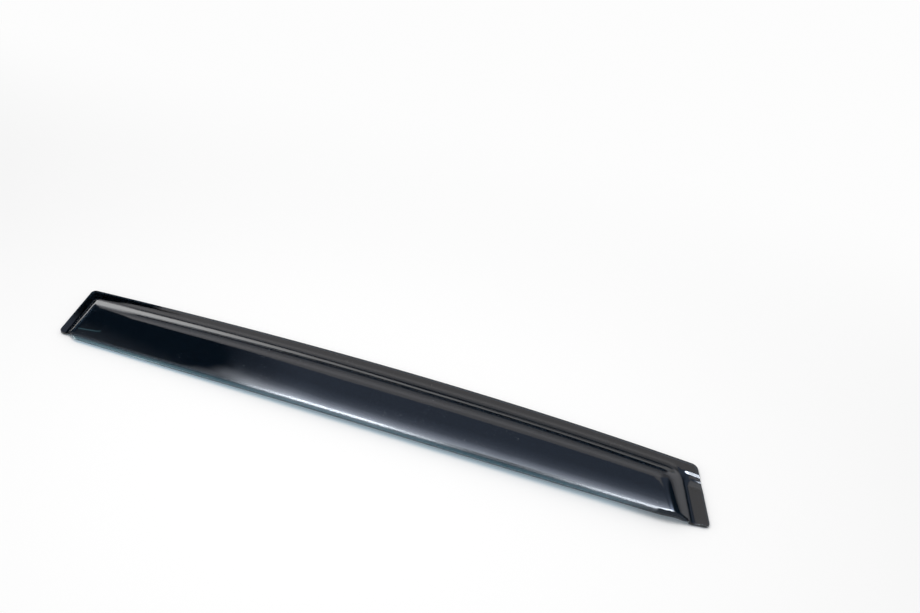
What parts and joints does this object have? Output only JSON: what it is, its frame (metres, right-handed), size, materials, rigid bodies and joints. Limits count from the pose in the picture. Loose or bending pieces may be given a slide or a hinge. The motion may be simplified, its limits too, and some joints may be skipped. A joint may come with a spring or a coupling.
{
  "type": "window rain deflector",
  "caption": "Long smoked acrylic visor with a bowed face, a turned-down lip and a flange on three sides with foam mounting tape on its back.",
  "frame": {"origin": "middle of the part's box in plan, on the surface that the tape lies on", "axes": "+X along the top flange towards the rear tab, +Y towards the door frame, +Z away from the door"},
  "size_m": [0.7056, 0.0883, 0.0144],
  "materials": {
    "acrylic": "gloss",
    "foam_tape": "matte"
  },
  "bodies": {
    "root": {"visor": "acrylic", "top_tape": "foam_tape", "front_tape": "foam_tape", "tab_tape": "foam_tape"}
  },
  "joints": []
}
